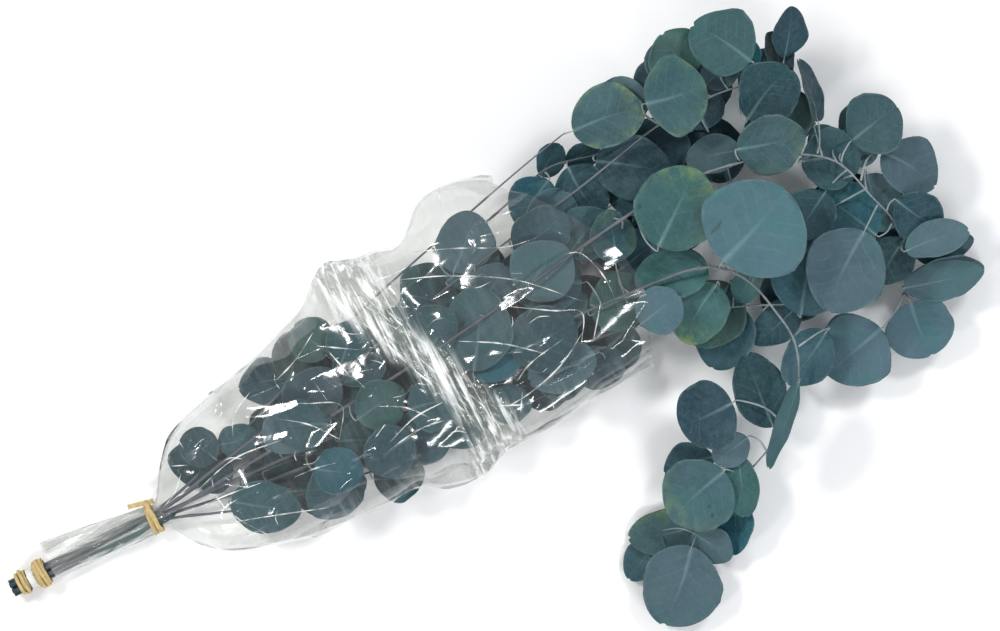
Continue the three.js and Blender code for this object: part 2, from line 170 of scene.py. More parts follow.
# ---- Shader helpers ----
class Graph:
    """A material's node tree with short ways to add nodes."""

    def __init__(self, name):
        self.material = bpy.data.materials.new(name)
        self.material.use_nodes = True
        self.tree = self.material.node_tree
        self.bsdf = self.tree.nodes["Principled BSDF"]
        self.output = self.tree.nodes["Material Output"]

    def node(self, kind, inputs=(), **settings):
        made = self.tree.nodes.new(kind)
        for key, value in settings.items():
            setattr(made, key, value)
        for key, value in dict(inputs).items():
            self.put(made.inputs[key], value)
        return made

    def put(self, socket, value):
        if isinstance(value, str):
            value = srgb(value)
        if isinstance(value, bpy.types.NodeSocket):
            self.tree.links.new(value, socket)
        elif isinstance(value, (list, tuple)) and len(value) == 3 and socket.type == "RGBA":
            socket.default_value = (*value, 1)
        else:
            socket.default_value = value

    def math(self, operation, a, b=0.0, clamp=False):
        made = self.node("ShaderNodeMath", {0: a, 1: b}, operation=operation, use_clamp=clamp)
        return made.outputs[0]

    def plus(self, a, b, clamp=False):
        return self.math("ADD", a, b, clamp)

    def minus(self, a, b):
        return self.math("SUBTRACT", a, b)

    def times(self, a, b):
        return self.math("MULTIPLY", a, b)

    def mix(self, share, a, b, blend="MIX"):
        made = self.node("ShaderNodeMix", data_type="RGBA", blend_type=blend)
        self.put(made.inputs["Factor"], share)
        self.put(made.inputs["A"], a)
        self.put(made.inputs["B"], b)
        return made.outputs["Result"]

    def remap(self, value, low, high, to_low=0.0, to_high=1.0):
        inputs = {"Value": value, 1: low, 2: high, 3: to_low, 4: to_high}
        return self.node("ShaderNodeMapRange", inputs, interpolation_type="SMOOTHSTEP").outputs[0]

    def place(self, scale=(1, 1, 1), turn=0.0):
        coords = self.node("ShaderNodeTexCoord").outputs["Object"]
        inputs = {"Vector": coords, "Rotation": (0, 0, turn), "Scale": scale}
        return self.node("ShaderNodeMapping", inputs).outputs[0]

    def noise(self, scale, detail=4.0, rough=0.5, vector=None, distortion=0.0):
        inputs = {"Scale": scale, "Detail": detail, "Roughness": rough, "Distortion": distortion}
        inputs["Vector"] = vector or self.place()
        return self.node("ShaderNodeTexNoise", inputs).outputs[0]

    def cells(self, scale, feature="F1"):
        inputs = {"Vector": self.place(), "Scale": scale}
        return self.node("ShaderNodeTexVoronoi", inputs, feature=feature).outputs["Distance"]

    def attribute(self, name, output="Fac"):
        return self.node("ShaderNodeAttribute", attribute_name=name).outputs[output]

    def bump(self, height, depth, strength=1.0, after=None):
        inputs = {"Height": height, "Distance": depth, "Strength": strength}
        if after:
            inputs["Normal"] = after
        return self.node("ShaderNodeBump", inputs).outputs[0]

    def surface(self, colour, roughness, normal):
        self.put(self.bsdf.inputs["Base Color"], colour)
        self.put(self.bsdf.inputs["Roughness"], roughness)
        self.put(self.bsdf.inputs["Normal"], normal)
        return self.material


# ---- Materials ----
LEAF_WASH = (0.64, 0.82, 0.84)  # what the dye takes from every leaf's colour
GATHER_TURN = radians(-22)  # how the sleeve's gathered fold slants from square across it


def leaf_material():
    """Dyed, waxed leaf: tinted per leaf and mottled, with a soft pale midrib and faint side veins."""
    g = Graph("eucalyptus_leaf")
    uv = g.node("ShaderNodeSeparateXYZ", {0: g.node("ShaderNodeUVMap", uv_map="blade").outputs[0]})
    along = uv.outputs[0]
    across = g.math("ABSOLUTE", g.minus(g.times(uv.outputs[1], 2.0), 1.0))
    wobble = g.times(g.minus(g.noise(60, 4), 0.5), 0.9)

    midrib_width = g.minus(0.06, g.times(along, 0.045))
    midrib = g.remap(g.math("DIVIDE", across, midrib_width), 0.1, 1.5, 1.0, 0.0)
    midrib_fade = g.remap(along, 0.2, 0.8, 0.3, 0.03)
    slant = g.minus(along, g.times(g.math("POWER", across, 0.8), 0.34))
    steps = g.plus(g.times(slant, 6.0), wobble)
    sideways = g.math("ABSOLUTE", g.minus(g.math("FRACT", steps), 0.5))
    side_vein = g.remap(sideways, 0.0, 0.13, 1.0, 0.0)
    side_vein = g.times(side_vein, g.remap(across, 0.6, 0.92, 1.0, 0.0))
    side_vein = g.times(side_vein, g.remap(g.noise(55), 0.35, 0.6))
    web = g.remap(g.cells(420, "DISTANCE_TO_EDGE"), 0.0, 0.12, 1.0, 0.0)

    tint = g.attribute("tint", "Color")
    darker = g.mix(1.0, tint, (0.66, 0.72, 0.76), "MULTIPLY")
    greener = g.mix(1.0, tint, (0.72, 1.06, 0.95), "MULTIPLY")
    tint = g.mix(g.remap(g.noise(45, 6, 0.62), 0.4, 0.72, 0.0, 0.75), tint, darker)
    tint = g.mix(g.remap(g.noise(26, 3, 0.5), 0.5, 0.68, 0.0, 0.8), tint, greener)
    grain = g.remap(g.noise(260, 5, 0.7), 0.3, 0.7)
    bloom = g.remap(g.noise(20, 6, 0.7), 0.4, 0.72)
    yellow = g.remap(g.noise(95, 5, 0.65), 0.36, 0.66)
    spot = g.times(g.remap(g.cells(70), 0.06, 0.17, 1.0, 0.0), g.remap(g.noise(23), 0.5, 0.58))
    rim = g.remap(g.noise(120), 0.42, 0.6, 0.05, 0.45)
    layers = [
        (grain, 0.16, "6d8488"),
        (bloom, g.attribute("bloom"), "6f828a"),
        (yellow, g.attribute("yellow"), "8d9560"),
        (web, 0.05, "90a5a5"),
        (side_vein, 0.09, "93a6a8"),
        (midrib, midrib_fade, "9fadae"),
        (spot, 0.5, "22373c"),
        (rim, g.attribute("rim"), "8b9a94"),
        (g.attribute("underside"), 0.4, "74868a"),
    ]
    for pattern, strength, colour in layers:
        tint = g.mix(g.times(pattern, strength), tint, colour)
    tint = g.mix(1.0, tint, LEAF_WASH, "MULTIPLY")

    g.bsdf.inputs["Specular IOR Level"].default_value = 0.2
    roughness = g.remap(g.noise(55, 4), 0.3, 0.7, 0.46, 0.66)
    veins = g.plus(midrib, g.times(side_vein, 0.5))
    veins = g.plus(veins, g.times(web, 0.2))
    relief = g.bump(veins, 0.0003, 0.5)
    relief = g.bump(g.noise(90, 4), 0.0012, 0.35, relief)
    return g.surface(tint, roughness, g.bump(g.noise(500, 3), 0.0002, 0.5, relief))


def bark_material():
    """Smooth twig bark: grey with a silver bloom over brown and teal dye, with fine long ridges."""
    g = Graph("twig_bark")
    grain = g.noise(1.0, 6, 0.6, g.place((90, 700, 700)))
    colour = g.mix(g.remap(g.noise(60, 4), 0.35, 0.65), "667073", "848e92")
    colour = g.mix(g.remap(grain, 0.35, 0.7, 0.0, 0.7), colour, "9aa4a8")
    colour = g.mix(g.remap(g.noise(35, 5), 0.52, 0.72, 0.0, 0.75), colour, "5c5452")
    colour = g.mix(g.times(g.attribute("bare"), 0.8), colour, "4c4d59")
    colour = g.mix(g.attribute("dye"), colour, "15333b")
    return g.surface(colour, g.remap(grain, 0.3, 0.7, 0.45, 0.75), g.bump(grain, 0.0004, 0.7))


def petiole_material():
    """The leaf stalks: smooth and grey, and browner in patches."""
    g = Graph("leaf_stalk")
    colour = g.mix(g.remap(g.noise(90, 4), 0.35, 0.65), "76868a", "93a0a3")
    colour = g.mix(g.remap(g.noise(45, 3), 0.55, 0.7, 0.0, 0.6), colour, "6a5a4e")
    roughness = g.remap(g.noise(150), 0.3, 0.7, 0.45, 0.7)
    return g.surface(colour, roughness, g.bump(g.noise(400, 4), 0.0002, 0.6))


def film_material():
    """Clear crinkled film: it shows what is behind it, mirrors the lamps, and carries painted
    highlights: it is white along its sharp folds, as if they caught the lamps.
    """
    g = Graph("clear_film")
    relief = g.bump(g.noise(26, 3, 0.5, g.place((1.0, 1.7, 1.3)), 0.6), 0.003, 0.35)

    # painted highlight: white along the film's sharp folds, where they would catch the lamps
    crease_highlight = g.attribute("crease_highlight")
    gather = g.attribute("gather")
    across_streaks = g.noise(1.0, 5, 0.6, g.place((260, 18, 60), GATHER_TURN), 0.4)
    tube_streaks = g.noise(1.0, 5, 0.6, g.place((14, 150, 150)), 0.6)
    in_tube = g.attribute("tube")
    streaks = g.times(across_streaks, g.minus(1.0, in_tube))
    streaks = g.plus(streaks, g.times(tube_streaks, in_tube))
    relief = g.bump(g.times(streaks, gather), 0.003, 0.5, relief)
    clear = g.node("ShaderNodeBsdfTransparent", {"Color": (0.885, 0.89, 0.88)})
    gloss = g.node("ShaderNodeBsdfGlossy", {"Color": (1, 1, 1), "Roughness": 0.13, "Normal": relief})
    # The milk is white where the painted highlights lie on the folds and where the streaks are, and
    # grey elsewhere.
    whitened = g.math("MAXIMUM", crease_highlight, g.remap(streaks, 0.42, 0.62))
    milk = g.mix(whitened, "9ea39a", "fafbfa")
    g.surface(milk, g.remap(g.noise(60), 0.3, 0.7, 0.12, 0.3), relief)

    fresnel = g.node("ShaderNodeFresnel", {"IOR": 1.5, "Normal": relief}).outputs[0]
    shine = g.plus(g.times(fresnel, 1.45), g.times(crease_highlight, 0.1), True)
    speck = g.times(g.remap(g.cells(130), 0.05, 0.13, 1.0, 0.0), g.remap(g.noise(14), 0.52, 0.6))
    haze = g.remap(g.noise(18, 5), 0.35, 0.7, 0.004, 0.035)
    # painted highlight: the folds' crests turn to white milk
    haze = g.plus(haze, g.times(crease_highlight, 0.8))
    haze = g.plus(haze, g.times(speck, 0.35))
    streaked = g.times(gather, g.remap(streaks, 0.38, 0.66, 0.3, 0.95))
    haze = g.plus(haze, streaked, True)
    skin = g.node("ShaderNodeMixShader", {0: shine, 1: clear.outputs[0], 2: gloss.outputs[0]})
    whole = g.node("ShaderNodeMixShader", {0: haze, 1: skin.outputs[0], 2: g.bsdf.outputs[0]})
    g.tree.links.new(whole.outputs[0], g.output.inputs["Surface"])
    return g.material


def rubber_material():
    """Natural tan rubber with stretch marks and darker patches."""
    g = Graph("tan_rubber")
    marks = g.noise(1.0, 5, 0.65, g.place((900, 160, 160)))
    colour = g.mix(g.remap(marks, 0.35, 0.7), "b1975c", "cfba86")
    colour = g.mix(g.remap(g.noise(120, 4), 0.55, 0.75, 0.0, 0.5), colour, "8d7743")
    return g.surface(colour, g.remap(marks, 0.3, 0.7, 0.42, 0.62), g.bump(marks, 0.0003, 0.7))


def paper_material():
    """White label paper with fibres and faint blue-grey patches where it is worn."""
    g = Graph("label_paper")
    fibres = g.noise(1.0, 6, 0.7, g.place((1500, 500, 500)))
    colour = g.mix(g.remap(fibres, 0.3, 0.7), "cfd2d0", "eeeeea")
    colour = g.mix(g.remap(g.noise(260, 3), 0.6, 0.7, 0, 0.5), colour, "9aa2a6")
    return g.surface(colour, g.remap(fibres, 0.3, 0.7, 0.7, 0.9), g.bump(fibres, 0.0001, 0.6))


# ---- Mesh helpers ----
def walk(ring):
    """The cross-sections of a lofted mesh from one of its end ones, each joining only the next."""
    seen = set(ring)
    rings = []
    while ring:
        rings.append([v.co.copy() for v in ring])
        touching = {e.other_vert(v) for v in ring for e in v.link_edges} - seen
        seen |= touching
        ring = sorted(touching, key=lambda v: v.index)
    return rings


def loft_of(node):
    mesh = bmesh.new()
    mesh.from_mesh(NODES[node].data)
    bmesh.ops.remove_doubles(mesh, verts=mesh.verts, dist=0.01 * MM)
    return mesh


def rings_of(node, count):
    """The cross-sections of a CAD node that starts square to X, from its lowest X."""
    mesh = loft_of(node)
    rings = walk(sorted(mesh.verts, key=lambda v: v.co.x)[:count])
    mesh.free()
    return rings


def spread(ring):
    return max((p - q).length for p in ring for q in ring)


STALK_WIDTH = 2.5 * MM  # the most that a CAD leaf's stalk is across


def leaf_rings(node):
    """The cross-sections of a CAD leaf: three of its stalk and then seven of its blade. The first one
    is looked for among vertices that lie close together."""
    mesh = loft_of(node)
    for spare in range(4):
        for start in mesh.verts:
            near = sorted(mesh.verts, key=lambda v: (v.co - start.co).length)
            for others in combinations(near[1:4 + spare], 3):
                rings = walk([start, *others])
                right = len(rings) == 10 and all(len(r) == 4 for r in rings)
                if right and max(spread(r) for r in rings[:3]) < STALK_WIDTH:
                    mesh.free()
                    return rings
    raise ValueError("no stalk found on " + node)


def middle_of(points):
    return sum(points, Vector()) / len(points)


def spline(points, steps):
    """The points joined by a smooth curve, with that many steps between each two."""
    padded = [2 * points[0] - points[1], *points, 2 * points[-1] - points[-2]]
    out = []
    for a, b, c, d in zip(padded, padded[1:], padded[2:], padded[3:]):
        for i in range(steps):
            t = i / steps
            out.append(0.5 * (2 * b + (c - a) * t + (2 * a - 5 * b + 4 * c - d) * t ** 2
                              + (3 * b - a - 3 * c + d) * t ** 3))
    return out + [points[-1]]


def make_object(name, points, faces, materials):
    mesh = bpy.data.meshes.new(name)
    mesh.from_pydata(points, [], faces)
    mesh.validate()
    for material in materials:
        mesh.materials.append(material)
    mesh.polygons.foreach_set("use_smooth", [True] * len(mesh.polygons))
    piece = bpy.data.objects.new(name, mesh)
    bpy.context.scene.collection.objects.link(piece)
    return piece


def store(piece, name, values, kind="FLOAT"):
    layer = piece.data.attributes.new(name, kind, "POINT")
    if kind == "FLOAT":
        layer.data.foreach_set("value", values)
    else:
        layer.data.foreach_set("color", [c for v in values for c in (*v, 1.0)])


def grid_faces(rows, columns, start=0, flip=False):
    """The faces of a grid of points, which are numbered row by row from start."""
    faces = []
    for i in range(rows - 1):
        for k in range(columns - 1):
            a = start + i * columns + k
            b, c = (1, columns) if flip else (columns, 1)
            faces.append((a, a + b, a + columns + 1, a + c))
    return faces


def tube_faces(rings, sides, closed=False):
    """The faces between rings of points, and from the last ring to the first if it is closed."""
    faces = []
    for i in range(rings if closed else rings - 1):
        a, b = i * sides, (i + 1) % rings * sides
        for k in range(sides):
            after = (k + 1) % sides
            faces.append((a + k, a + after, b + after, b + k))
    return faces


def tube(path, radius, sides):
    """Points and faces of a round tube along a path. radius is a function of the step."""
    points = []
    side = None
    for i, p in enumerate(path):
        along = (path[min(i + 1, len(path) - 1)] - path[max(i - 1, 0)]).normalized()
        if side is None:
            side = along.cross(UP)
            side = side.normalized() if side.length > 0.1 else Vector((1, 0, 0))
        side = (side - along * side.dot(along)).normalized()
        up = along.cross(side)
        for k in range(sides):
            a = tau * k / sides
            points.append(p + (side * cos(a) + up * sin(a)) * radius(i))
    faces = tube_faces(len(path), sides)
    faces.append(range(sides)[::-1])
    faces.append(range(len(points) - sides, len(points)))
    return points, faces


# ---- Leaves ----
LEAF_THICKNESS = 0.45 * MM
LENGTHWISE = 22
CROSSWISE = 9  # from the midrib to a margin
TINTS = {
    "pale": "5a7278",
    "slate": "59676f",
    "blue": "5a6975",
    "green": "3a5f5b",
    "olive": "4a5f58",
    "middling": "40585c",
    "dusk": "4f5c67",
    "teal": "1c5764",
    "deep": "304d56",
    # dark: a deep dye, and also painted shade where it tints the leaves lying low in the pile
    "dark": "203a44",
    "night": "1c3540",
    "brown": "454c48",
}
SLOT_OF = {
    "pale": "leaf_light",
    "slate": "leaf_slate",
    "blue": "leaf_slate",
    "dusk": "leaf_slate",
    "green": "leaf_green",
}
LEAF_TINTS = {
    "outer": "deep deep olive slate middling",
    "upper": "teal dark dark slate",
    "crown": "middling olive middling dark dark dark",
    "arch": "green middling night olive deep middling slate slate blue blue blue slate teal",
    "trail": "pale dark night pale middling middling dusk teal deep",
    "middle": "green slate deep deep deep deep middling",
    "lower": "deep deep slate",
}
# How yellow a leaf's margins, tip and left side are, for the leaves that have turned.
TURNED = {
    "leaf_outer_05": (0.7, 0.45, 0.1),
    "leaf_arch_16": (0.15, 0.6, 0.1),
    "leaf_crown_10": (0.35, 0.1, 0.1),
    "leaf_trail_33": (0.1, 0.55, 0.05),
    "leaf_trail_34": (0.15, 0.05, 0.55),
    "leaf_middle_38": (0.1, 0.9, 0.2),
    "leaf_arch_17": (0.05, 0.25, 0.15),
    "leaf_middle_42": (0.1, 0.4, 0.2),
}


def half_width(u, width, blunt):
    """Half the blade's width at a share of its length. It is widest just before its middle."""
    return width / 2 * sin(pi * u ** 0.93) ** blunt


class Foliage:
    """A mesh of one or more leaves."""

    def __init__(self):
        self.points, self.faces, self.is_stalk, self.uvs, self.tints = [], [], [], [], []
        self.values = {"rim": [], "yellow": [], "underside": [], "bloom": []}

    def add(self, points, faces, is_stalk, tint, uvs, **values):
        start = len(self.points)
        self.points += points
        self.faces += [[start + v for v in face] for face in faces]
        self.is_stalk += [is_stalk] * len(faces)
        self.uvs += uvs
        self.tints += [tint] * len(points)
        for name, layer in self.values.items():
            layer += values.get(name, [0.0] * len(points))

    def finish(self, name, slot):
        piece = make_object(name, self.points, self.faces, [LEAF, STALK])
        piece.data.polygons.foreach_set("material_index", [int(flag) for flag in self.is_stalk])
        layer = piece.data.uv_layers.new(name="blade")
        for loop in piece.data.loops:
            layer.data[loop.index].uv = self.uvs[loop.vertex_index]
        store(piece, "tint", self.tints, "FLOAT_COLOR")
        for value_name, layer in self.values.items():
            store(piece, value_name, layer)
        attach(piece, "root")
        return piece


def add_leaf(foliage, spot, root, tint, seed, turned=(0, 0, 0)):
    """One leaf: a thin closed blade with a curved midrib and uneven margins, and its stalk, which
    runs from the blade's base to root on the twig. spot is the blade's base, direction, upper side,
    length and width."""
    base, along, up, length, width = spot
    rng = random.Random(seed)
    side = up.cross(along)
    blunt = rng.uniform(0.45, 0.62)
    cup = rng.uniform(0.04, 0.12) * width
    sag = rng.uniform(-0.05, 0.06) * length
    bend = rng.uniform(-0.05, 0.05) * length
    ripple = rng.uniform(0.008, 0.024) * width
    waves = rng.uniform(1.5, 3.0)
    phase = rng.uniform(0, 6.28)
    notch = rng.choice([0, 0, 0.02, 0.035]) * length
    twist = rng.uniform(-0.12, 0.12)
    margin, tip, left = turned

    points, uvs, rims, yellows, unders = [], [], [], [], []
    columns = 2 * CROSSWISE + 1
    for layer in (0, 1):
        for i in range(LENGTHWISE + 1):
            u = (1 - cos(pi * i / LENGTHWISE)) / 2
            u = min(max(u, 0.004), 0.996)
            half = half_width(u, width, blunt)
            for j in range(columns):
                v = (j - CROSSWISE) / CROSSWISE
                v = copysign(abs(v) ** 0.85, v)
                x = u * length - notch * (1 - abs(v)) * max(0, u - 0.8) / 0.2
                flank = copysign(1, v) + seed
                uneven = 0.14 * rough(u * 2.4, flank, seed * 0.7)
                uneven += 0.04 * rough(u * 8, flank, seed * 1.3)
                y = v * half * (1 + uneven) + bend * sin(pi * u)
                z = cup * v * v * sin(pi * u) ** 0.5
                z += sag * (u * u - 0.3 * u) + twist * y * u
                z += ripple * abs(v) ** 3 * sin(waves * tau * u + phase + v)
                z += 0.02 * width * rough(u * 2.2, v * 1.6, seed * 1.7)
                edge = min(1, (1 - abs(v)) * 8, (u + 0.02) * 12, (1.02 - u) * 12)
                z += (0.5 - layer) * LEAF_THICKNESS * (0.25 + 0.75 * max(0, edge))
                points.append(base + along * x + side * y + up * z)
                uvs.append((u, v * half / width + 0.5))
                out = max(abs(v), abs(2 * u - 1) ** 3)
                rims.append(max(0.0, (out - 0.93) / 0.07))
                yellow = margin * max(0, (out - 0.62) / 0.38) ** 1.5 + tip * max(0, (u - 0.6) / 0.4)
                yellows.append(min(1, yellow + left * max(0, -v - 0.2)))
                unders.append(float(layer))
    sheet = (LENGTHWISE + 1) * columns
    faces = grid_faces(LENGTHWISE + 1, columns)
    faces += grid_faces(LENGTHWISE + 1, columns, sheet, True)
    rim = list(range(columns))
    rim += [i * columns + columns - 1 for i in range(1, LENGTHWISE + 1)]
    rim += [LENGTHWISE * columns + j for j in reversed(range(columns - 1))]
    rim += [i * columns for i in reversed(range(1, LENGTHWISE))]
    for a, b in zip(rim, rim[1:] + rim[:1]):
        faces.append((a, b, sheet + b, sheet + a))
    strength = rng.uniform(0.8, 1.22)
    shade = [c * strength * rng.uniform(0.96, 1.04) for c in srgb(tint)]
    bloom = [rng.uniform(0.05, 0.4)] * len(points)
    foliage.add(
        points, faces, False, shade, uvs, rim=rims, yellow=yellows, underside=unders, bloom=bloom
    )

    into = base + along * 0.12 * length + up * (-0.3 * LEAF_THICKNESS)
    reach = (base - root).length
    bow = base - along * 0.35 * reach + UP * (rng.uniform(-0.1, 0.1) * reach)
    stalk = spline([root, root.lerp(bow, 0.55), base.lerp(bow, 0.35), base, into], 4)
    thin = rng.uniform(0.5, 0.62) * MM
    steps = len(stalk) - 1
    points, faces = tube(stalk, lambda i: thin * (1.5 - 1.1 * i / steps), 6)
    foliage.add(points, faces, True, shade, [(0.5, 0.5)] * len(points))


BLADE_START = 0.04  # how far in a CAD blade's first cross-section lies, as a share of its length


def blade_frame(node):
    """A CAD leaf's spot, which is its base, direction, upper side, length and width, and its root."""
    rings = leaf_rings(node)
    mids, margins = [], []
    for ring in rings[3:]:
        pair = max(((p, q) for p in ring for q in ring), key=lambda pq: (pq[0] - pq[1]).length)
        margins.append((pair[0] + pair[1]) / 2)
        mids.append(middle_of([p for p in ring if p not in pair]))
    along = (mids[-1] - mids[0]).normalized()
    length = (mids[-1] - mids[0]).length / (1 - BLADE_START)
    up = middle_of(margins[1:6]) - middle_of(mids[1:6])
    up = (up - along * up.dot(along)).normalized()
    width = max(spread(ring) for ring in rings[3:])
    return (mids[0] - along * BLADE_START * length, along, up, length, width), middle_of(rings[0])


# ---- Twigs ----
# In millimetres along: how far up the dye has crept, where the bark's bare grey ends, and over how
# long a stretch it fades.
DYED_LENGTH = 9
BARE_END = 640
BARE_FADE = 160


def twig_path(node):
    rings = rings_of(node, 6)
    return [middle_of(r) for r in rings], [(r[0] - middle_of(r)).length for r in rings]


def build_twig(node, seed):
    """A smooth twig that tapers and has knots, with its cut end dyed and its lower part bare."""
    path, radii = twig_path(node)
    steps = 5
    rng = random.Random(seed)
    smooth = spline(path, steps)
    knots = [rng.randrange(20, len(smooth) - 4) for _ in range(9)]

    def radius(i):
        k = min(i // steps, len(radii) - 2)
        r = radii[k] + (radii[k + 1] - radii[k]) * (i / steps - k)
        swell = sum(exp(-((i - n) / 1.3) ** 2) for n in knots)
        slender = 0.8 - 0.25 * i / len(smooth)
        bumps = 0.35 * min(swell, 1) + 0.06 * rough(i * 0.35, seed, 0)
        return r * slender * (1 + bumps)

    points, faces = tube(smooth, radius, 12)
    piece = make_object(node.replace("stem", "twig"), points, faces, [BARK])
    along = [(p.x - CUT_END) / MM for p in points]
    store(piece, "dye", [min(1, 1.5 * max(0.0, 1 - x / DYED_LENGTH)) for x in along])
    store(piece, "bare", [max(0.0, min(1, (BARE_END - x) / BARE_FADE)) for x in along])
    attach(piece, "root")
    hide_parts(node)


def nearest_on_twigs(point):
    """The nearest point on a twig, and the twig's name."""
    best = None
    for name, path in TWIGS.items():
        for a, b in zip(path[3:], path[4:]):
            share = min(max(intersect_point_line(point, a, b)[1], 0), 1)
            p = a.lerp(b, share)
            if best is None or (p - point).length < (best[0] - point).length:
                best = p, name
    return best


